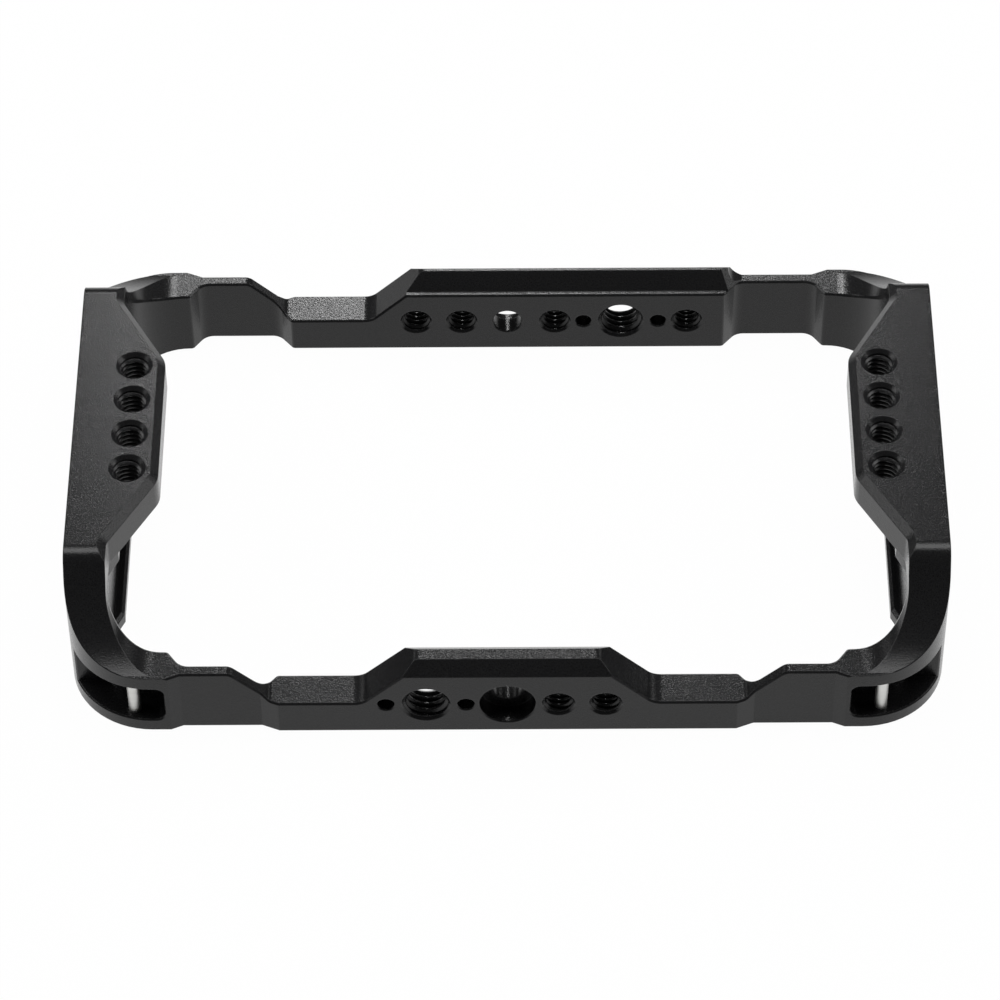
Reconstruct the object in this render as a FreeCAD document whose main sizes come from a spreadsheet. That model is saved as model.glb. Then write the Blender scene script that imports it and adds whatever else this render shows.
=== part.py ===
# Monitor cage: an open frame milled from one aluminium plate, with four strap pins pressed into its corners.
# The frame lies flat. X is its length, Y its depth (the near bar is at -Y) and Z is up, all in millimetres.
import FreeCAD
import Part
import Sketcher
import math
import os
import re

doc = FreeCAD.newDocument("MonitorCage")
sheet = doc.addObject("Spreadsheet::Sheet", "Sizes")

SIZES = [
    # Overall plan
    ("half_length", 93.7, "middle to the outer side face"),
    ("half_depth", 59.8, "middle to a bar's outer face"),
    ("ring_step", 0.4, "from a bar's outer face in to the ring's outer face beside the necks"),
    ("full_height", 34.5, "underside to the top of the side plates"),
    ("outer_corner", 18, "radius of the outer corners in plan"),
    ("bar_width", 8.1, "a bar's outer face to its inner face"),
    ("side_wall", 8.4, "outer side face to the side wall of the monitor space"),
    ("cavity_corner", 12.5, "radius of the monitor space's corners"),
    ("roof", 26, "underside of the side plates"),
    # Lip and pad along the side walls
    ("lip_width", 10.5, "outer side face to the face of the lip and the pad"),
    ("lip_end", 29.5, "half the straight length of the lip"),
    ("lip_jog_end", 34, "where the lip has run out into the side wall"),
    ("lip_height", 3.5, "top of the lip"),
    ("groove_top", 21, "top of the groove between lip and pad"),
    # Side plates
    ("plate_width", 19, "outer side face to the plate's inner edge"),
    ("plate_straight", 17.3, "half the straight length of the plate's inner edge"),
    ("plate_end_width", 8.9, "outer side face to the plate's inner edge beyond the slants"),
    ("slant_end", 35, "where the slant meets that edge"),
    ("slant_round", 6, "radius between the inner edge and the slant"),
    ("slant_end_round", 3, "radius between the slant and the outer stretch"),
    ("plate_bevel", 1.6, "bevel along the plate's inner top edge"),
    # Corner scoops and ramps
    ("scoop_round", 10, "radius of the scoop beside the plate ends"),
    ("scoop_floor", 17.4, "level of the corners and necks"),
    ("ramp_run", 21.9, "length of the ramp in plan, from where the plate's top begins to round over"),
    ("ramp_foot_step", 0.9, "from the ring's outer face in to where the ramp reaches the corner level"),
    ("ramp_brow", 4.6, "radius where the plate top rolls over into the ramp"),
    ("ramp_slope", 60, "steepest slope of the ramp, in degrees"),
    ("ramp_width", 22.7, "outer side face to the inner end of the ramp cut"),
    # Bars
    ("low_level", 9.3, "top of the low stretches"),
    ("ridge_rise", 3.4, "from the corner level up to the top of the raised stretches"),
    ("low_outer", 50.5, "outer end of a low stretch"),
    ("low_inner", 31, "inner end of a low stretch"),
    ("slope_top_round", 2.5, "radius at the top of the outer slopes"),
    ("slope_foot_round", 1.5, "radius at the foot of the outer slopes"),
    ("ridge_foot_round", 4, "radius at the foot of the ridges' slopes"),
    ("ridge_top_round", 2, "radius where those slopes turn over onto the ridges"),
    ("far_ridge_end", 50, "right end of the far ridge"),
    ("ridge_outer_bevel", 2.8, "bevel along the ridges' outer edges"),
    ("near_inner_bevel", 2.6, "bevel along the near ridge's inner edge"),
    ("ridge_land", 1.2, "flat left beside the far ridge's inner bevel, at the corner level"),
    ("neck_land", 0.6, "the same beside the neck, where that bevel turns into it"),
    # Necks
    ("neck_inner_step", 4.2, "from a bar's outer face in to a neck's inner face"),
    ("neck_outer_step", 1.5, "from a bar's outer face in to a neck's outer face"),
    ("neck_from", 52.4, "bar end of a neck"),
    ("neck_corner", 24.5, "outer side face to the corner end of a neck"),
    ("bar_jog", 3.3, "length of the slanted inner jog at a neck's bar end"),
    ("corner_jog", 2.8, "length of the one at its corner end"),
    ("outer_jog_corner", 21.9, "outer side face to the corner end of an outer jog"),
    ("outer_jog_to", 48.7, "bar end of an outer jog"),
    ("jog_hollow", 3.5, "radius at the neck end of an inner jog"),
    ("jog_nose", 1, "radius at the thick end of an inner jog"),
    # Threaded holes: bores are at the thread's outer radius
    ("quarter_bore", 3.175, "1/4 inch thread, outer radius"),
    ("quarter_sink", 0.525, "bevel of the 1/4 holes in the bars"),
    ("plate_sink", 0.825, "bevel of the 1/4 holes in the plates"),
    ("large_bore", 4.7625, "3/8 inch thread, outer radius"),
    ("large_sink", 0.54, "bevel of the 3/8 holes"),
    ("hole_level", 8.9, "height of the bars' holes"),
    ("locating_sink", 0.25, "bevel of the plain holes"),
    ("far_large", 25.8, "X of the far 3/8 hole"),
    ("near_large", -17.3, "X of the near 3/8 hole"),
    ("pin_offset", 8.5, "3/8 hole to its locating pin holes"),
    ("pin_bore", 1.75, "radius of the locating pin holes"),
    ("outer_pair", 15, "far 3/8 hole to the 1/4 holes about it"),
    ("far_quarter_a", -20.8, "X of the far bar's first 1/4 hole"),
    ("far_quarter_b", -10.4, "X of its second 1/4 hole"),
    ("near_quarter_a", 10.8, "X of the near bar's first 1/4 hole"),
    ("near_quarter_b", 20.8, "X of its second 1/4 hole"),
    ("screw_bore", 3.25, "radius of the holes for the monitor's screws"),
    ("screw_head", 5.9, "radius of their counterbores"),
    ("head_depth", 4.3, "depth of their counterbores"),
    ("plate_hole_inset", 12.35, "outer side face to the plate holes' centres"),
    ("plate_hole_pitch", 10, "spacing of the plate holes"),
    ("plate_hole_depth", 14, "depth of the plate holes from the plate top"),
    # Strap slots and pins
    ("slot_low", 3.7, "underside of the strap slots"),
    ("slot_high", 13.7, "top of the strap slots"),
    ("slot_inner", 12.1, "radius of the slots' inner wall in plan"),
    ("slot_end_step", 10.9, "from the ring's outer face in to the flat end wall of the slots"),
    ("slot_length", 20.9, "outer side face to the rounded end of the slots towards the bars"),
    ("slot_end_round", 2, "radius of that rounded end"),
    ("strap_pin_inset", 14.2, "outer side face to the strap pins' centres"),
    ("strap_pin_step", 3.3, "from the ring's outer face in to the strap pins' centres"),
    ("strap_pin_round", 1.35, "radius of the strap pins"),
    ("strap_pin_low", 0.5, "lower end of the strap pins"),
    ("strap_pin_high", 16.2, "upper end of the strap pins"),
    # Small edge bevels
    ("edge_bevel", 0.4, "bevel of the bars, necks, corners and underside"),
    ("slot_bevel", 0.3, "bevel of the strap slots"),
    ("lip_bevel", 0.7, "bevel of the lips' top edges"),
    ("side_round", 0.2, "rounding of the outer top edges of plates and ramps"),
    ("pin_end_bevel", 0.25, "bevel of the strap pins' ends"),
]

# Places that follow from the sizes, each as a formula
PLACES = [
    ("ring_depth", "half_depth - ring_step", "middle to the ring's outer face beside the necks"),
    ("bar_inner", "half_depth - bar_width", "middle to a bar's inner face"),
    ("cavity_side", "half_length - side_wall", "middle to the side wall of the monitor space"),
    ("lip_side", "half_length - lip_width", "middle to the face of the lip and the pad"),
    ("plate_inner", "half_length - plate_width", "middle to the plate's inner edge"),
    ("plate_outer_inner", "half_length - plate_end_width", "middle to that edge beyond the slants"),
    ("ramp_foot", "ring_depth - ramp_foot_step", "where the ramp reaches the corner level"),
    ("ramp_top", "ramp_foot - ramp_run", "where the plate's top begins to round over towards the ramp"),
    ("ramp_side", "half_length - ramp_width", "inner end of the ramp cut"),
    ("ridge_level", "scoop_floor + ridge_rise", "top of the raised stretches"),
    ("neck_inner", "half_depth - neck_inner_step", "middle to a neck's inner face"),
    ("neck_outer", "half_depth - neck_outer_step", "middle to a neck's outer face"),
    ("neck_to", "half_length - neck_corner", "corner end of a neck"),
    ("outer_jog_from", "half_length - outer_jog_corner", "corner end of an outer jog"),
    ("plate_hole_side", "half_length - plate_hole_inset", "X of the plate holes"),
    ("slot_end_face", "ring_depth - slot_end_step", "flat end wall of the slots towards the sides"),
    ("slot_start", "half_length - slot_length", "rounded end of the slots towards the bars"),
    ("strap_pin_across", "half_length - strap_pin_inset", "X of the strap pins"),
    ("strap_pin_deep", "ring_depth - strap_pin_step", "Y of the strap pins"),
    ("reach", "2 * half_length", "a length beyond every outer face"),
]

NAMES = [alias for alias, _value, _note in SIZES + PLACES]
ORIGIN_GEOMETRY = -1
START = 1
FINISH = 2
CENTRE = 3
# Lengths closer than NEAR count as equal. PROBE is the step off an edge that tells its outer side
NEAR = 1e-3
PROBE = 0.02
# An edge is bevelled where its faces turn by over SHARP_TURN degrees and one normal rises by over FACE_RISE
SHARP_TURN = 50.5
FACE_RISE = 0.3
FLARE = 45
PIN_PLACES = {
    "near_left": ("-strap_pin_across", "-strap_pin_deep"),
    "near_right": ("strap_pin_across", "-strap_pin_deep"),
    "far_left": ("-strap_pin_across", "strap_pin_deep"),
    "far_right": ("strap_pin_across", "strap_pin_deep"),
}


def fill_sheet():
    """Write the driving sizes and the places that follow from them into the sheet, one alias each."""
    for row, (alias, value, note) in enumerate(SIZES + PLACES, start=1):
        sheet.set(f"A{row}", note)
        sheet.set(f"B{row}", f"={value}")
        sheet.setAlias(f"B{row}", alias)
    doc.recompute()


def bind(formula):
    """Put the sheet's name before every size named in a formula."""
    return re.sub(r"[a-z_]+", lambda word: "Sizes." + word[0] if word[0] in NAMES else word[0], formula)


def value_of(formula):
    """The present value of a formula."""
    return float(sheet.evalExpression(bind(formula)))


def new_sketch(body, name, role, lift):
    """An empty sketch on one of the body's own planes, raised along that plane's normal."""
    sketch = body.newObject("Sketcher::SketchObject", name)
    plane = next(feature for feature in body.Origin.OriginFeatures if feature.Role == role)
    sketch.AttachmentSupport = [(plane, "")]
    sketch.MapMode = "FlatFace"
    sketch.setExpression("AttachmentOffset.Base.z", bind(lift))
    return sketch


def bind_distance(sketch, geometry, point, place):
    """Hold a point of the sketch at two formulas, measured from the sketch's origin."""
    for kind, formula in zip(("DistanceX", "DistanceY"), place):
        constraint = Sketcher.Constraint(kind, ORIGIN_GEOMETRY, START, geometry, point, value_of(formula))
        sketch.setExpression(f"Constraints[{sketch.addConstraint(constraint)}]", bind(formula))


def bind_radius(sketch, geometry, formula):
    """Hold the radius of an arc or circle at a formula."""
    constraint = Sketcher.Constraint("Radius", geometry, value_of(formula))
    sketch.setExpression(f"Constraints[{sketch.addConstraint(constraint)}]", bind(formula))


def add_line(sketch, start, end):
    """A straight run; gives its number and its two end points in the order of travel."""
    return sketch.addGeometry(Part.LineSegment(start, end), False), START, FINISH


def add_arc(sketch, start, end, radius, turn):
    """An arc that turns left (1) or right (-1) on its way from start to end."""
    across = end - start
    left = FreeCAD.Vector(-across.y, across.x, 0).normalize()
    rise = math.sqrt(max(radius ** 2 - (across.Length / 2) ** 2, 0))
    centre = (start + end) / 2 + left * (turn * rise)
    angles = [math.atan2(point.y - centre.y, point.x - centre.x) for point in (start, end)]
    if turn < 0:
        angles.reverse()
    circle = Part.Circle(centre, FreeCAD.Vector(0, 0, 1), radius)
    number = sketch.addGeometry(Part.ArcOfCircle(circle, angles[0], angles[1]), False)
    return (number, START, FINISH) if turn > 0 else (number, FINISH, START)


def add_loop(sketch, corners):
    """A closed outline. A corner is two formulas, and a radius and a turn where an arc leaves it."""
    points = [FreeCAD.Vector(value_of(corner[0]), value_of(corner[1]), 0) for corner in corners]
    runs = []
    for corner, start, end in zip(corners, points, points[1:] + points[:1]):
        if len(corner) == 2:
            runs.append(add_line(sketch, start, end))
        else:
            runs.append(add_arc(sketch, start, end, value_of(corner[2]), corner[3]))
    for (number, _first, last), (following, first, _last) in zip(runs, runs[1:] + runs[:1]):
        sketch.addConstraint(Sketcher.Constraint("Coincident", number, last, following, first))
    for (number, first, _last), corner in zip(runs, corners):
        bind_distance(sketch, number, first, corner[:2])
        if len(corner) > 2:
            bind_radius(sketch, number, corner[2])


def outline(body, name, role, lift, loops):
    """A sketch of closed outlines."""
    sketch = new_sketch(body, name, role, lift)
    for corners in loops:
        add_loop(sketch, corners)
    return sketch


def circles(body, name, role, lift, places, radius):
    """A sketch of equal circles."""
    sketch = new_sketch(body, name, role, lift)
    for place in places:
        centre = FreeCAD.Vector(value_of(place[0]), value_of(place[1]), 0)
        circle = Part.Circle(centre, FreeCAD.Vector(0, 0, 1), value_of(radius))
        number = sketch.addGeometry(circle, False)
        bind_distance(sketch, number, CENTRE, place)
        bind_radius(sketch, number, radius)
    return sketch


def extrude(body, kind, name, sketch, length, forward=True):
    """A Pad or a Pocket that grows along the sketch plane's normal, or against it."""
    feature = body.newObject("PartDesign::" + kind, name)
    feature.Profile = sketch
    feature.setExpression("Length", bind(length))
    feature.Reversed = forward if kind == "Pocket" else not forward
    sketch.Visibility = False
    doc.recompute()
    return feature


def dress(body, kind, name, wanted, size):
    """A Fillet or a Chamfer on the edges of the body's present shape that pass a test."""
    base = body.Tip
    edges = [f"Edge{number}" for number, edge in enumerate(base.Shape.Edges, start=1) if wanted(edge)]
    feature = body.newObject("PartDesign::" + kind, name)
    feature.Base = (base, edges)
    feature.setExpression("Radius" if kind == "Fillet" else "Size", bind(size))
    doc.recompute()
    return feature


def sharp(body, within, upright=False):
    """A test for edges inside a region where a wall and another face meet in an outward corner.

    The other face is a wall too only where upright edges are asked for.
    """
    shape = body.Tip.Shape

    def wanted(edge):
        if edge.Length < NEAR:
            return False
        spot = edge.valueAt((edge.FirstParameter + edge.LastParameter) / 2)
        faces = shape.ancestorsOfType(edge, Part.Face) if within(spot) else []
        if len(faces) != 2:
            return False
        first, second = [face.normalAt(*face.Surface.parameter(spot)) for face in faces]
        wall_rise, other_rise = sorted([abs(first.z), abs(second.z)])
        if not same(wall_rise, 0) or (other_rise < FACE_RISE and not upright):
            return False
        if math.degrees(first.getAngle(second)) < SHARP_TURN:
            return False
        return not shape.isInside(spot + (first - second) * PROBE, NEAR, False)

    return wanted


def same(one, other):
    """True where two lengths are equal for our purpose."""
    return abs(one - other) < NEAR


def along(axis, places):
    """A test for straight edges parallel to an axis that cross the other two axes at given distances.

    The places are pairs of formulas and stand for both signs of either distance.
    """
    across = [number for number in range(3) if number != axis]
    spots = [(value_of(first), value_of(second)) for first, second in places]

    def wanted(edge):
        first, last = edge.Vertexes[0].Point, edge.Vertexes[-1].Point
        if any(not same(first[number], last[number]) for number in across):
            return False
        if same(first[axis], last[axis]):
            return False
        distances = [abs(first[number]) for number in across]
        return any(same(distances[0], spot[0]) and same(distances[1], spot[1]) for spot in spots)

    return wanted


def rims(axis, level, radius):
    """A test for full circles about an axis at a given distance along it."""
    height, size = value_of(level), value_of(radius)

    def wanted(edge):
        curve = edge.Curve
        if not isinstance(curve, Part.Circle) or len(edge.Vertexes) != 1:
            return False
        in_place = same(abs(curve.Center[axis]), height) and same(abs(curve.Axis[axis]), 1)
        return in_place and same(curve.Radius, size)

    return wanted


def mirrored(corners, across=0):
    """The same outline on the other side of the middle, in the same order of travel."""
    result = []
    for corner in corners:
        place = list(corner)
        place[across] = f"-({place[across]})"
        if len(place) > 2:
            place[3] = -place[3]
        result.append(tuple(place))
    return result


def billet(body):
    """The block in its outer outline, at full height."""
    quarter = [
        ("half_length", "ring_depth"),
        ("outer_jog_from", "ring_depth"),
        ("neck_to", "neck_outer"),
        ("neck_from", "neck_outer"),
        ("outer_jog_to", "half_depth"),
    ]
    corners = four_way(quarter)
    sketch = outline(body, "outer_outline", "XY_Plane", "0", [corners])
    extrude(body, "Pad", "block", sketch, "full_height")
    dress(body, "Fillet", "outer_corners", along(2, [("half_length", "ring_depth")]), "outer_corner")


def four_way(quarter):
    """A closed outline from its quarter at +X +Y, which runs from the side to the middle."""
    far_left = mirrored(quarter)[::-1]
    near_left = mirrored(mirrored(quarter), 1)
    near_right = mirrored(quarter, 1)[::-1]
    return quarter + far_left + near_left + near_right


def monitor_space(body):
    """The room for the monitor, cut from below up to the side plates, with its lips and grooves."""
    quarter = [
        ("lip_side", "lip_end"),
        ("cavity_side", "lip_jog_end"),
        ("cavity_side", "bar_inner"),
        ("neck_to + corner_jog", "bar_inner"),
        ("neck_to", "neck_inner"),
        ("neck_from", "neck_inner"),
        ("neck_from - bar_jog", "bar_inner"),
    ]
    sketch = outline(body, "space_outline", "XY_Plane", "0", [four_way(quarter)])
    extrude(body, "Pocket", "space", sketch, "roof")
    dress(body, "Fillet", "space_corners", along(2, [("cavity_side", "bar_inner")]), "cavity_corner")
    hollows = [("neck_to", "neck_inner"), ("neck_from", "neck_inner")]
    dress(body, "Fillet", "jog_hollows", along(2, hollows), "jog_hollow")
    noses = [("neck_to + corner_jog", "bar_inner"), ("neck_from - bar_jog", "bar_inner")]
    dress(body, "Fillet", "jog_noses", along(2, noses), "jog_nose")
    groove = four_way([("cavity_side", "lip_jog_end")])
    sketch = outline(body, "groove_outline", "XY_Plane", "lip_height", [groove])
    extrude(body, "Pocket", "grooves", sketch, "groove_top - lip_height")


def plate_areas():
    """The plan areas of the two side plates, reaching past the outer faces."""
    right = [
        ("plate_inner", "-plate_straight"),
        ("plate_outer_inner", "-slant_end"),
        ("plate_outer_inner", "-reach"),
        ("reach", "-reach"),
        ("reach", "reach"),
        ("plate_outer_inner", "reach"),
        ("plate_outer_inner", "slant_end"),
        ("plate_inner", "plate_straight"),
    ]
    return [right, mirrored(right)]


def scoop_side():
    """The right half of a bar's profile from the open air down the scoop to its low stretch."""
    return [
        ("plate_outer_inner", "reach"),
        ("plate_outer_inner", "scoop_floor + scoop_round", "scoop_round", -1),
        ("plate_outer_inner - scoop_round", "scoop_floor"),
    ]


def low_stretch():
    """The right half of a bar's profile from the corner level through the low stretch up to the ridge."""
    return [
        ("low_outer + scoop_floor - low_level", "scoop_floor"),
        ("low_outer", "low_level"),
        ("low_inner", "low_level"),
        ("low_inner - ridge_level + low_level", "ridge_level"),
    ]


def far_end():
    """The right end of the far ridge, which runs out into the neck with a hollow."""
    return [
        ("far_ridge_end + ridge_level - scoop_floor", "scoop_floor", "ridge_level - scoop_floor", -1),
        ("far_ridge_end", "ridge_level"),
    ]


def reversed_left(right_half):
    """The mirrored half of a profile in the opposite order; its arcs leave from their other ends."""
    result = []
    corners = [list(corner) for corner in right_half]
    arcs = {number: corner[2:] for number, corner in enumerate(corners) if len(corner) > 2}
    for number in range(len(corners) - 1, -1, -1):
        across, up = corners[number][:2]
        bend = arcs.get(number - 1, [])
        result.append(tuple([f"-({across})", up] + list(bend)))
    return result


def top_cutter(name, right_half, forward):
    """A body that holds what the milling takes off above one bar and its two corners."""
    body = doc.addObject("PartDesign::Body", name)
    corners = right_half + reversed_left(scoop_side() + low_stretch())
    sketch = outline(body, name + "_profile", "XZ_Plane", "0", [corners])
    extrude(body, "Pad", name + "_block", sketch, "reach", forward)
    tops = [("low_outer + scoop_floor - low_level", "scoop_floor")]
    dress(body, "Fillet", name + "_slope_tops", along(1, tops), "slope_top_round")
    dress(body, "Fillet", name + "_slope_feet", along(1, [("low_outer", "low_level")]), "slope_foot_round")
    dress(body, "Fillet", name + "_ridge_feet", along(1, [("low_inner", "low_level")]), "ridge_foot_round")
    tops = [("low_inner - ridge_level + low_level", "ridge_level")]
    dress(body, "Fillet", name + "_ridge_tops", along(1, tops), "ridge_top_round")
    sketch = outline(body, name + "_plates", "XY_Plane", "0", plate_areas())
    extrude(body, "Pocket", name + "_plate_gap", sketch, "reach")
    slants = [("plate_inner", "plate_straight")]
    dress(body, "Fillet", name + "_slants", along(2, slants), "slant_round")
    ends = [("plate_outer_inner", "slant_end")]
    dress(body, "Fillet", name + "_slant_ends", along(2, ends), "slant_end_round")
    return body


def milled_top(body):
    """Mill the bars, necks and scoops down from above, then bevel the plates' inner edges."""
    near = top_cutter("near_cutter", scoop_side() + low_stretch(), True)
    far = top_cutter("far_cutter", scoop_side() + far_end(), False)
    cut = body.newObject("PartDesign::Boolean", "milled_top")
    cut.Type = "Cut"
    cut.setObjects([near, far])
    doc.recompute()


def plate_edge(edge):
    """True for the plates' inner edges at the top."""
    top, first, last = value_of("full_height"), value_of("plate_inner"), value_of("plate_outer_inner")
    points = [vertex.Point for vertex in edge.Vertexes]
    return all(same(point.z, top) and first - NEAR <= abs(point.x) <= last + NEAR for point in points)


def ramps(body):
    """The ramps from the plate tops down to the corners, near and far, on both sides.

    Each rolls over its brow and then runs out in a hollow that follows on without a crease.
    """
    brow_run, brow_drop = "ramp_brow * sin(ramp_slope)", "ramp_brow * (1 - cos(ramp_slope))"
    run = f"(ramp_foot - ramp_top - {brow_run})"
    drop = f"(full_height - scoop_floor - {brow_drop})"
    hollow = f"({run}^2 + {drop}^2) / 2 / ({run} * sin(ramp_slope) - {drop} * cos(ramp_slope))"
    far = [
        ("ramp_top", "full_height", "ramp_brow", -1),
        (f"ramp_top + {brow_run}", f"full_height - {brow_drop}", hollow, 1),
        ("ramp_foot", "scoop_floor"),
        ("reach", "scoop_floor"),
        ("reach", "reach"),
        ("ramp_top", "reach"),
    ]
    near = mirrored(far)
    right = outline(body, "ramp_profile_right", "YZ_Plane", "ramp_side", [near, far])
    extrude(body, "Pocket", "ramps_right", right, "reach")
    left = outline(body, "ramp_profile_left", "YZ_Plane", "-ramp_side", [near, far])
    extrude(body, "Pocket", "ramps_left", left, "reach", False)


def side_rounds(body):
    """A fine rounding along the outer top edges of the plates, which runs on down the ramps."""
    dress(body, "Fillet", "side_rounds", along(1, [("half_length", "full_height")]), "side_round")


def top_bevels(body):
    """Bevels along the upper edges of bars, necks and corners, before the wider ridge bevels are cut."""
    level, floor, side = value_of("low_level"), value_of("scoop_floor"), value_of("plate_outer_inner")
    inner, outer = value_of("bar_inner - cavity_corner"), value_of("neck_outer")
    jog, ridge_end = value_of("outer_jog_from"), value_of("far_ridge_end")

    def within(spot):
        across, deep = abs(spot.x), abs(spot.y)
        if spot.z < level - NEAR or across > side - NEAR or deep < inner:
            return False
        if deep < outer - NEAR:
            return True
        beside_ridge = spot.y > 0 and spot.x > ridge_end and spot.z > floor + NEAR
        return across < jog and not beside_ridge

    dress(body, "Chamfer", "top_bevels", sharp(body, within), "edge_bevel")


def ridge_bevels(body):
    """The wide bevels along both ridges; the far inner one turns with the jog at the ridge's end."""
    outer = [
        ("half_depth", "ridge_level - ridge_outer_bevel"),
        ("half_depth", "reach"),
        ("half_depth - ridge_outer_bevel", "reach"),
        ("half_depth - ridge_outer_bevel", "ridge_level"),
    ]
    near_inner = [
        ("-bar_inner", "ridge_level - near_inner_bevel"),
        ("-bar_inner", "reach"),
        ("-bar_inner - near_inner_bevel", "reach"),
        ("-bar_inner - near_inner_bevel", "ridge_level"),
    ]
    profiles = [outer, mirrored(outer), near_inner]
    sketch = outline(body, "ridge_bevel_profiles", "YZ_Plane", "-low_outer", profiles)
    extrude(body, "Pocket", "ridge_bevels", sketch, "low_outer + far_ridge_end + ridge_level - scoop_floor")
    jog_slope = "bar_jog / (neck_inner - bar_inner)"
    inner = [
        ("-low_inner", "bar_inner + ridge_land"),
        ("-low_inner", "lip_end"),
        ("neck_to", "lip_end"),
        ("neck_to", "neck_inner + neck_land"),
        (f"neck_from + neck_land * {jog_slope}", "neck_inner + neck_land"),
        (f"neck_from - (neck_inner - bar_inner - ridge_land) * {jog_slope}", "bar_inner + ridge_land"),
    ]
    sketch = outline(body, "far_inner_bevel_outline", "XY_Plane", "scoop_floor", [inner])
    pocket = extrude(body, "Pocket", "far_inner_bevel_cut", sketch, "ridge_level - scoop_floor")
    pocket.TaperAngle = FLARE
    doc.recompute()


def land_bevel(body):
    """The bevel of the flat below the far ridge's inner bevel."""
    floor, first, last = value_of("scoop_floor"), value_of("-low_inner"), value_of("far_ridge_end")

    def within(spot):
        return same(spot.z, floor) and spot.y > 0 and first < spot.x < last

    dress(body, "Chamfer", "land_bevel", sharp(body, within), "edge_bevel")


def strap_slots(body):
    """The slots behind the four corners and the holes for the strap pins that cross them."""
    across = "slot_start - (half_length - outer_corner)"
    deep = "slot_end_face - (ring_depth - outer_corner)"
    slot = [
        (f"half_length - outer_corner + sqrt(slot_inner^2 - ({deep})^2)", "slot_end_face", "slot_inner", 1),
        ("slot_start", f"ring_depth - outer_corner + sqrt(slot_inner^2 - ({across})^2)"),
        ("slot_start", "reach"),
        ("reach", "reach"),
        ("reach", "slot_end_face"),
    ]
    four = [slot, mirrored(slot), mirrored(slot, 1), mirrored(mirrored(slot), 1)]
    sketch = outline(body, "slot_outlines", "XY_Plane", "slot_low", four)
    extrude(body, "Pocket", "strap_slots", sketch, "slot_high - slot_low")
    ends = [("slot_start", "slot_low"), ("slot_start", "slot_high")]
    dress(body, "Fillet", "slot_ends", along(1, ends), "slot_end_round")
    sketch = circles(body, "pin_seats", "XY_Plane", "0", PIN_PLACES.values(), "strap_pin_round")
    extrude(body, "Pocket", "pin_holes", sketch, "strap_pin_high")


def slot_bevels(body):
    """Bevels where the strap slots open on the corners' outer faces."""
    across, deep = value_of("half_length - outer_corner"), value_of("ring_depth - outer_corner")
    low, high, start = value_of("slot_low"), value_of("slot_high"), value_of("slot_start")
    middle = value_of("(slot_inner + outer_corner) / 2")

    def within(spot):
        if not low - NEAR < spot.z < high + NEAR:
            return False
        if abs(spot.x) < start - NEAR or abs(spot.y) < deep:
            return False
        return math.hypot(max(abs(spot.x) - across, 0), abs(spot.y) - deep) > middle

    dress(body, "Chamfer", "slot_bevels", sharp(body, within, True), "slot_bevel")


def underside_bevels(body):
    """Bevels along the underside, except round the pin seats, and along the lips' top edges."""
    across, deep = value_of("strap_pin_across"), value_of("strap_pin_deep")
    clear = value_of("2 * strap_pin_round")

    def underside(spot):
        return same(spot.z, 0) and math.hypot(abs(spot.x) - across, abs(spot.y) - deep) > clear

    dress(body, "Chamfer", "underside_bevels", sharp(body, underside), "edge_bevel")
    level, reach = value_of("lip_height"), value_of("lip_jog_end")

    def lips(spot):
        return same(spot.z, level) and abs(spot.y) < reach

    dress(body, "Chamfer", "lip_bevels", sharp(body, lips), "lip_bevel")


def drill_bars(body, name, spots_by_half, radius, sink):
    """Equal holes straight through the bars at the given X, bevelled where they open on a bar's faces."""
    starts = {"far": "-lip_end", "near": "lip_end"}
    for half, spots in spots_by_half.items():
        places = [(spot, "hole_level") for spot in spots]
        sketch = circles(body, f"{name}_{half}_centres", "XZ_Plane", starts[half], places, radius)
        extrude(body, "Pocket", f"{name}_{half}", sketch, "reach", half == "near")
    if sink:
        faces = [rims(1, level, radius) for level in ("bar_inner", "half_depth")]
        dress(body, "Chamfer", name + "_sinks", lambda edge: any(face(edge) for face in faces), sink)


def bar_holes(body):
    """The threaded holes, locating pin holes and screw holes of the two bars."""
    quarter = {
        "far": ["far_quarter_a", "far_quarter_b", "far_large - outer_pair", "far_large + outer_pair"],
        "near": ["near_quarter_a", "near_quarter_b"],
    }
    drill_bars(body, "quarter_holes", quarter, "quarter_bore", "quarter_sink")
    large = {"far": ["far_large"], "near": ["near_large"]}
    drill_bars(body, "large_holes", large, "large_bore", "large_sink")
    pins = {half: [f"{half}_large - pin_offset", f"{half}_large + pin_offset"] for half in ("far", "near")}
    drill_bars(body, "locating_holes", pins, "pin_bore", "locating_sink")
    screws = {"far": ["0"], "near": ["0"]}
    drill_bars(body, "screw_holes", screws, "screw_bore", "locating_sink")
    for half, lift in (("far", "-half_depth + head_depth"), ("near", "half_depth - head_depth")):
        name = f"screw_head_{half}"
        sketch = circles(body, name + "_centre", "XZ_Plane", lift, [("0", "hole_level")], "screw_head")
        extrude(body, "Pocket", name, sketch, "head_depth", half == "near")
    dress(body, "Chamfer", "screw_head_sinks", rims(1, "half_depth", "screw_head"), "locating_sink")


def plate_holes(body):
    """The four threaded holes through each side plate."""
    rows = [f"{count} * plate_hole_pitch / 2" for count in (-3, -1, 1, 3)]
    places = [(side + "plate_hole_side", row) for side in ("", "-") for row in rows]
    sketch = circles(body, "plate_hole_centres", "XY_Plane", "full_height", places, "quarter_bore")
    extrude(body, "Pocket", "plate_holes", sketch, "plate_hole_depth", False)
    dress(body, "Chamfer", "plate_hole_sinks", rims(2, "full_height", "quarter_bore"), "plate_sink")


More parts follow.
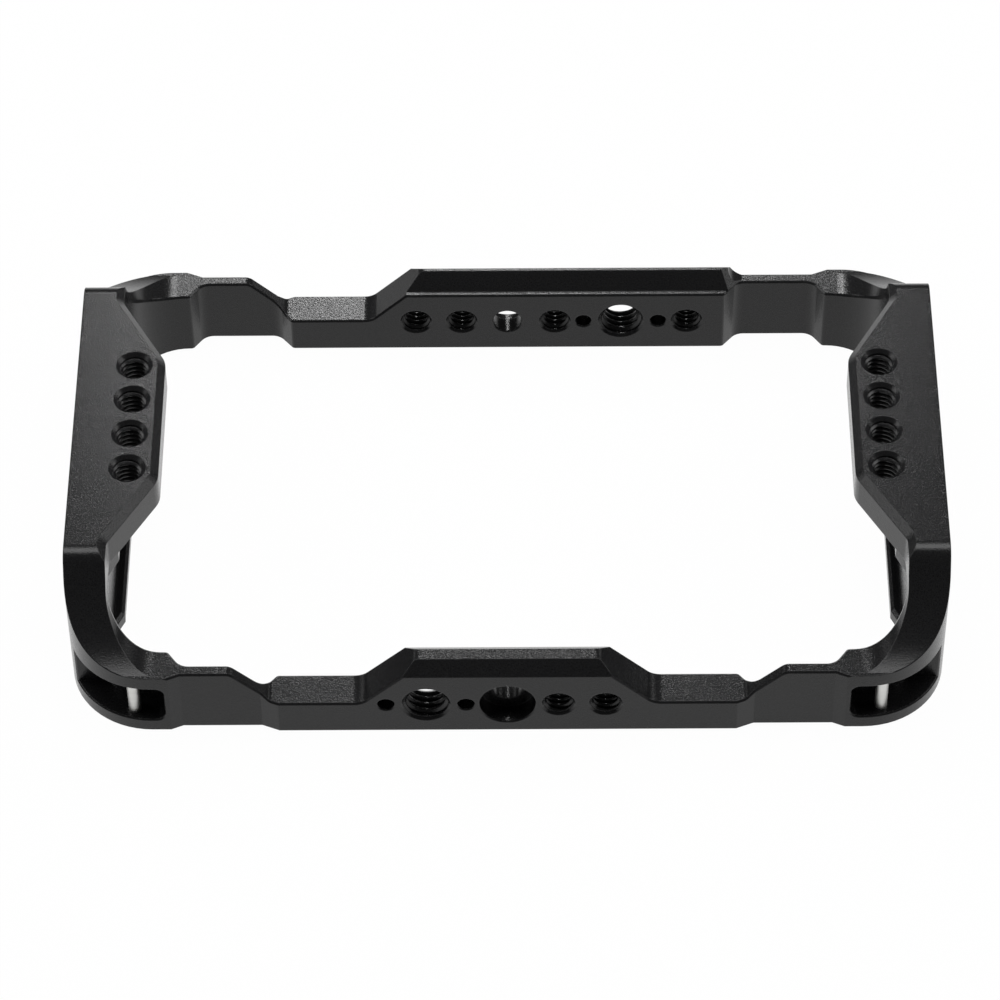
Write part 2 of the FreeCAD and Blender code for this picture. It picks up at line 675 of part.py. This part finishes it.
def make_frame():
    """The one milled piece."""
    body = doc.addObject("PartDesign::Body", "frame")
    billet(body)
    monitor_space(body)
    milled_top(body)
    dress(body, "Chamfer", "plate_bevels", plate_edge, "plate_bevel")
    ramps(body)
    side_rounds(body)
    top_bevels(body)
    ridge_bevels(body)
    land_bevel(body)
    strap_slots(body)
    slot_bevels(body)
    underside_bevels(body)
    bar_holes(body)
    plate_holes(body)
    return body


def make_strap_pin(corner, place):
    """A round pin with bevelled ends, pressed in from below across a strap slot."""
    name = "strap_pin_" + corner
    body = doc.addObject("PartDesign::Body", name)
    sketch = circles(body, name + "_round", "XY_Plane", "strap_pin_low", [place], "strap_pin_round")
    extrude(body, "Pad", name + "_rod", sketch, "strap_pin_high - strap_pin_low")
    ends = [rims(2, level, "strap_pin_round") for level in ("strap_pin_low", "strap_pin_high")]
    dress(body, "Chamfer", name + "_ends", lambda edge: any(end(edge) for end in ends), "pin_end_bevel")
    return body


def export(bodies):
    """Write each body as its own STEP file, named by its label."""
    os.makedirs("parts", exist_ok=True)
    for piece in doc.Objects:
        if "Invalid" in piece.State or "Error" in piece.State:
            raise RuntimeError(f"{piece.Label} did not build: {piece.State}")
    for body in bodies:
        if body.Shape.isNull() or not body.Shape.isValid():
            raise RuntimeError(f"{body.Label} has no sound shape")
        body.Shape.exportStep(f"parts/{body.Label}.step")


fill_sheet()
export([make_frame()] + [make_strap_pin(corner, place) for corner, place in PIN_PLACES.items()])
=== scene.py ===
# Monitor cage: looks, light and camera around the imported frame. Metres, Z up.
import bmesh
import bpy
import math
from mathutils import Matrix, Vector


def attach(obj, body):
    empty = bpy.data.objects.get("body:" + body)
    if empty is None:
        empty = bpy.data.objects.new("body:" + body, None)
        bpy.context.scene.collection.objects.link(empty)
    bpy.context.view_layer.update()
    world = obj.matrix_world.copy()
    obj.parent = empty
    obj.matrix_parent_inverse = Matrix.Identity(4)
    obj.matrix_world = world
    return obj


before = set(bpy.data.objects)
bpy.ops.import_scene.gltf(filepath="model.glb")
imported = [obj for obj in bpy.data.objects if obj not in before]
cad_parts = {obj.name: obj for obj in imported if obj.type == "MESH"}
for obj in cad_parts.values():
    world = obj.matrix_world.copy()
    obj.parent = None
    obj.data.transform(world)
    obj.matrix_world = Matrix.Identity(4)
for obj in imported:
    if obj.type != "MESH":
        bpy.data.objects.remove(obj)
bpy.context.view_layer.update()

# Camera, solved from the photograph
MM = 0.001
PITCH = math.radians(48.8096)
YAW = math.radians(0.4161)
ROLL = math.radians(-0.5871)
DISTANCE = 1028.875 * MM
TARGET = Vector((0, 7.14 * MM, 0))
LENS = 166.146
SENSOR_WIDTH = 36
SHIFT = (-0.007715, -0.005567)
NEAREST = 0.01

# Threads, in millimetres: outer and inner radius and pitch
QUARTER_INCH = (3.175, 2.55, 1.27)
LARGE = (4.7625, 4.0, 1.5875)
# A ridge's half width at its foot and at its crest, and how far into the mouths' bevels
# its middle line starts and ends, all in pitches
RIDGE_FOOT = 7 / 16
RIDGE_CREST = 1 / 8
RIDGE_LEAD = 1 / 8
# How far the ridges' feet are sunk into the wall, and the steps of one turn
THREAD_ROOT = 0.02
THREAD_STEPS = 40
SHARP_EDGE = math.radians(25)
MERGE_DISTANCE = 1e-5
SMALLEST_EDGE = 1e-6
# Where the threaded holes are, where they open and the width of the bevels there, in millimetres
FAR_QUARTERS = (-20.8, -10.4, 10.8, 40.8)
FAR_LARGE = 25.8
NEAR_QUARTERS = (10.8, 20.8)
NEAR_LARGE = -17.3
BAR_FACES = (51.7, 59.8)
HOLE_LEVEL = 8.9
BAR_MOUTHS = {QUARTER_INCH: 0.525, LARGE: 0.54}
PLATE_FACES = (26, 34.5)
PLATE_HOLE_SIDE = 81.35
PLATE_HOLE_ROWS = (-15, -5, 5, 15)
PLATE_MOUTHS = (0, 0.825)

# The range that most of a noise texture's values fall in
NOISE_MIDDLE = (0.3, 0.7)
# Black finish: dye from dark to light, sheen from smooth to rough, and the grain left by the blasting
ANODISED_IOR = 1.36
DARK_DYE = (0.006, 0.006, 0.0065, 1)
LIGHT_DYE = (0.016, 0.016, 0.0165, 1)
DYE_SCALE = 4000
SHEEN = (0.16, 0.22)
SHEEN_SCALE = 3000
GRAIN_SCALE = 3800
GRAIN_STRENGTH = 0.35
GRAIN_HEIGHT = 0.1 * MM
EDGE_ROUND = 0.25 * MM
BEVEL_SAMPLES = 6
# Steel of the pins
STEEL = (0.66, 0.66, 0.64, 1)
STEEL_SHEEN = (0.36, 0.55)
RING_SCALE = (200, 200, 6000)
RING_STRENGTH = 0.25
RING_HEIGHT = 0.05 * MM

# Surroundings
WHITE = (1, 1, 1, 1)
FLOOR_HALF = 3.0
FLOOR_LEVEL = -0.2 * MM
FLOOR_COLOUR = (0.85, 0.85, 0.85, 1)
FLOOR_GLOW = 0.98
ROOM_STRENGTH = 0.08
LAMP_DISTANCE = 1.6
# Softboxes: azimuth and elevation in degrees, width and height in metres, and power in watts
LAMPS = {
    "key_light": (-2, 41.5, (0.26, 0.16), 4.6),
    "top_light": (0, 85, (1.2, 0.8), 14),
    "left_light": (-75, 35, (1.2, 0.7), 8),
    "right_light": (75, 35, (1.2, 0.7), 8),
}


def add_camera():
    """The photograph's camera: yawed, pitched down and slightly rolled."""
    right = Vector((math.cos(YAW), math.sin(YAW), 0))
    ahead = Vector((-math.sin(YAW), math.cos(YAW), 0))
    look = math.cos(PITCH) * ahead - math.sin(PITCH) * Vector((0, 0, 1))
    up = math.sin(PITCH) * ahead + math.cos(PITCH) * Vector((0, 0, 1))
    rolled_right = math.cos(ROLL) * right + math.sin(ROLL) * up
    rolled_up = -math.sin(ROLL) * right + math.cos(ROLL) * up
    data = bpy.data.cameras.new("photo_camera")
    data.lens = LENS
    data.sensor_width = SENSOR_WIDTH
    data.shift_x, data.shift_y = SHIFT
    data.clip_start = NEAREST
    camera = bpy.data.objects.new("photo_camera", data)
    axes = Matrix((rolled_right, rolled_up, -look)).transposed().to_4x4()
    camera.matrix_world = Matrix.Translation(TARGET - DISTANCE * look) @ axes
    bpy.context.scene.collection.objects.link(camera)
    bpy.context.scene.camera = camera


def thread_ridge(bm, radii_and_pitch, length, mouths, place):
    """One right-handed helical ridge in a bore from 0 to length, cut back by its mouths' bevels."""
    outer, inner, pitch = radii_and_pitch
    foot = outer + THREAD_ROOT
    profile = ((-RIDGE_FOOT, foot), (-RIDGE_CREST, inner), (RIDGE_CREST, inner), (RIDGE_FOOT, foot))
    first = mouths[0] - RIDGE_LEAD * pitch
    last = length - mouths[1] + RIDGE_LEAD * pitch
    count = round((last - first) / pitch * THREAD_STEPS)
    previous = None
    for step in range(count + 1):
        along = first + (last - first) * step / count
        turn = 2 * math.pi * along / pitch
        ring = []
        for offset, radius in profile:
            level = min(max(along + offset * pitch, mouths[0]), length - mouths[1])
            cone = foot + max(mouths[0] - level, mouths[1] - (length - level))
            reach = max(radius, cone)
            point = Vector((reach * math.cos(turn), reach * math.sin(turn), level))
            ring.append(bm.verts.new(place @ point))
        if previous:
            for side in range(len(profile)):
                follow = (side + 1) % len(profile)
                bm.faces.new((previous[side], previous[follow], ring[follow], ring[side]))
        previous = ring


def thread_piece(name, ridges):
    """One piece that holds the thread ridges of a row of holes."""
    bm = bmesh.new()
    for ridge in ridges:
        thread_ridge(bm, *ridge)
    bmesh.ops.remove_doubles(bm, verts=bm.verts, dist=MERGE_DISTANCE)
    bmesh.ops.dissolve_degenerate(bm, edges=bm.edges, dist=SMALLEST_EDGE)
    bmesh.ops.recalc_face_normals(bm, faces=bm.faces)
    bm.transform(Matrix.Scale(MM, 4))
    for face in bm.faces:
        face.smooth = True
    for edge in bm.edges:
        edge.smooth = edge.calc_face_angle(0) < SHARP_EDGE
    mesh = bpy.data.meshes.new(name)
    bm.to_mesh(mesh)
    bm.free()
    piece = bpy.data.objects.new(name, mesh)
    bpy.context.scene.collection.objects.link(piece)
    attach(piece, "root")
    return piece


def bar_ridge(thread, across, side):
    """The ridge of a bar hole at a given X, in the far bar (1) or the near bar (-1)."""
    inner_face, outer_face = BAR_FACES
    start = Matrix.Translation((across, side * inner_face, HOLE_LEVEL))
    place = start @ Matrix.Rotation(math.radians(-90 * side), 4, "X")
    mouth = BAR_MOUTHS[thread]
    return thread, outer_face - inner_face, (mouth, mouth), place


def plate_ridges(side):
    """The ridges of the four holes in the right (1) or the left (-1) side plate."""
    low, high = PLATE_FACES
    places = [Matrix.Translation((side * PLATE_HOLE_SIDE, row, low)) for row in PLATE_HOLE_ROWS]
    return [(QUARTER_INCH, high - low, PLATE_MOUTHS, place) for place in places]


def thread_pieces():
    """The threads of both bars and both plates."""
    far = [(QUARTER_INCH, across) for across in FAR_QUARTERS] + [(LARGE, FAR_LARGE)]
    near = [(QUARTER_INCH, across) for across in NEAR_QUARTERS] + [(LARGE, NEAR_LARGE)]
    return [
        thread_piece("threads_far_bar", [bar_ridge(thread, across, 1) for thread, across in far]),
        thread_piece("threads_near_bar", [bar_ridge(thread, across, -1) for thread, across in near]),
        thread_piece("threads_left_plate", plate_ridges(-1)),
        thread_piece("threads_right_plate", plate_ridges(1)),
    ]


def new_material(name):
    """A node material with its tree and its Principled shader."""
    material = bpy.data.materials.new(name)
    material.use_nodes = True
    tree = material.node_tree
    return material, tree, tree.nodes["Principled BSDF"]


def rounded_edges(tree, radius):
    """A node whose normal runs smoothly round every edge, as on a tumbled and blasted part."""
    bevel = tree.nodes.new("ShaderNodeBevel")
    bevel.samples = BEVEL_SAMPLES
    bevel.inputs["Radius"].default_value = radius
    return bevel


def noise(tree, place, scale, detail):
    """A noise texture over the coordinates that a socket gives."""
    texture = tree.nodes.new("ShaderNodeTexNoise")
    texture.inputs["Scale"].default_value = scale
    texture.inputs["Detail"].default_value = detail
    tree.links.new(place, texture.inputs["Vector"])
    return texture


def between(tree, texture, low, high):
    """The texture's middle range spread over two values."""
    spread = tree.nodes.new("ShaderNodeMapRange")
    spread.inputs["From Min"].default_value = NOISE_MIDDLE[0]
    spread.inputs["From Max"].default_value = NOISE_MIDDLE[1]
    spread.inputs["To Min"].default_value = low
    spread.inputs["To Max"].default_value = high
    tree.links.new(texture.outputs["Fac"], spread.inputs["Value"])
    return spread.outputs["Result"]


def bumpy(tree, texture, strength, height):
    """A node whose normal follows a texture's relief."""
    bump = tree.nodes.new("ShaderNodeBump")
    bump.inputs["Strength"].default_value = strength
    bump.inputs["Distance"].default_value = height
    tree.links.new(texture.outputs["Fac"], bump.inputs["Height"])
    return bump


def black_anodised():
    """Bead-blasted and anodised aluminium: nearly black, with a fine grain and softened edges."""
    material, tree, shader = new_material("black_anodised")
    nodes, links = tree.nodes, tree.links
    shader.inputs["IOR"].default_value = ANODISED_IOR
    place = nodes.new("ShaderNodeTexCoord").outputs["Object"]
    dye = nodes.new("ShaderNodeMix")
    dye.data_type = "RGBA"
    dye.inputs["A"].default_value = DARK_DYE
    dye.inputs["B"].default_value = LIGHT_DYE
    links.new(between(tree, noise(tree, place, DYE_SCALE, 2), 0, 1), dye.inputs["Factor"])
    links.new(dye.outputs["Result"], shader.inputs["Base Color"])
    links.new(between(tree, noise(tree, place, SHEEN_SCALE, 1), *SHEEN), shader.inputs["Roughness"])
    grain = bumpy(tree, noise(tree, place, GRAIN_SCALE, 1), GRAIN_STRENGTH, GRAIN_HEIGHT)
    links.new(rounded_edges(tree, EDGE_ROUND).outputs["Normal"], grain.inputs["Normal"])
    links.new(grain.outputs["Normal"], shader.inputs["Normal"])
    return material


def pin_steel():
    """Ground steel, with faint rings round the pin."""
    material, tree, shader = new_material("pin_steel")
    nodes, links = tree.nodes, tree.links
    shader.inputs["Base Color"].default_value = STEEL
    shader.inputs["Metallic"].default_value = 1
    place = nodes.new("ShaderNodeTexCoord")
    stretch = nodes.new("ShaderNodeMapping")
    stretch.inputs["Scale"].default_value = RING_SCALE
    links.new(place.outputs["Object"], stretch.inputs["Vector"])
    rings = noise(tree, stretch.outputs["Vector"], 1, 3)
    links.new(between(tree, rings, *STEEL_SHEEN), shader.inputs["Roughness"])
    relief = bumpy(tree, rings, RING_STRENGTH, RING_HEIGHT)
    links.new(relief.outputs["Normal"], shader.inputs["Normal"])
    return material


def show_material(name, material):
    """Give one CAD node its finish."""
    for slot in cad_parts[name].material_slots:
        slot.material = material


def white_floor():
    """A plain floor, white to the camera and in reflections, that still takes a faint shadow."""
    mesh = bpy.data.meshes.new("floor")
    turns = ((-1, -1), (1, -1), (1, 1), (-1, 1))
    corners = [(across * FLOOR_HALF, deep * FLOOR_HALF, FLOOR_LEVEL) for across, deep in turns]
    mesh.from_pydata(corners, [], [(0, 1, 2, 3)])
    floor = bpy.data.objects.new("floor", mesh)
    bpy.context.scene.collection.objects.link(floor)
    material, tree, shader = new_material("white_floor")
    nodes, links = tree.nodes, tree.links
    shader.inputs["Base Color"].default_value = FLOOR_COLOUR
    shader.inputs["Roughness"].default_value = 1
    shader.inputs["Specular IOR Level"].default_value = 0
    glow = nodes.new("ShaderNodeEmission")
    glow.inputs["Color"].default_value = WHITE
    glow.inputs["Strength"].default_value = 1
    path = nodes.new("ShaderNodeLightPath")
    seen = nodes.new("ShaderNodeMath")
    seen.operation = "MAXIMUM"
    links.new(path.outputs["Is Camera Ray"], seen.inputs[0])
    links.new(path.outputs["Is Glossy Ray"], seen.inputs[1])
    either = nodes.new("ShaderNodeMath")
    either.operation = "MAXIMUM"
    links.new(seen.outputs[0], either.inputs[0])
    links.new(path.outputs["Is Transmission Ray"], either.inputs[1])
    amount = nodes.new("ShaderNodeMath")
    amount.operation = "MULTIPLY"
    amount.inputs[1].default_value = FLOOR_GLOW
    links.new(either.outputs[0], amount.inputs[0])
    mix = nodes.new("ShaderNodeMixShader")
    links.new(amount.outputs[0], mix.inputs["Fac"])
    links.new(shader.outputs["BSDF"], mix.inputs[1])
    links.new(glow.outputs["Emission"], mix.inputs[2])
    links.new(mix.outputs["Shader"], nodes["Material Output"].inputs["Surface"])
    mesh.materials.append(material)


def studio_world():
    """A soft grey room that the camera sees as white."""
    world = bpy.data.worlds.new("studio")
    bpy.context.scene.world = world
    world.use_nodes = True
    nodes, links = world.node_tree.nodes, world.node_tree.links
    room = nodes["Background"]
    room.inputs["Color"].default_value = WHITE
    room.inputs["Strength"].default_value = ROOM_STRENGTH
    white = nodes.new("ShaderNodeBackground")
    white.inputs["Color"].default_value = WHITE
    white.inputs["Strength"].default_value = 1
    path = nodes.new("ShaderNodeLightPath")
    mix = nodes.new("ShaderNodeMixShader")
    links.new(path.outputs["Is Camera Ray"], mix.inputs["Fac"])
    links.new(room.outputs["Background"], mix.inputs[1])
    links.new(white.outputs["Background"], mix.inputs[2])
    links.new(mix.outputs["Shader"], nodes["World Output"].inputs["Surface"])


def softbox(name, azimuth, elevation, size, power):
    """A rectangular lamp aimed at the object; azimuth 0 is behind it and 90 is on its right."""
    data = bpy.data.lights.new(name, "AREA")
    data.shape = "RECTANGLE"
    data.size, data.size_y = size
    data.energy = power
    lamp = bpy.data.objects.new(name, data)
    bpy.context.scene.collection.objects.link(lamp)
    turn, rise = math.radians(azimuth), math.radians(elevation)
    level = math.cos(rise)
    place = Vector((math.sin(turn) * level, math.cos(turn) * level, math.sin(rise)))
    lamp.location = place * LAMP_DISTANCE
    lamp.rotation_euler = (-place).to_track_quat("-Z", "Y").to_euler()


add_camera()
finish = black_anodised()
show_material("frame", finish)
for piece in thread_pieces():
    piece.data.materials.append(finish)
steel = pin_steel()
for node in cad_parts:
    if node.startswith("strap_pin"):
        show_material(node, steel)
white_floor()
studio_world()
for name, lamp in LAMPS.items():
    softbox(name, *lamp)

settings = bpy.context.scene
settings.view_settings.view_transform = "Standard"
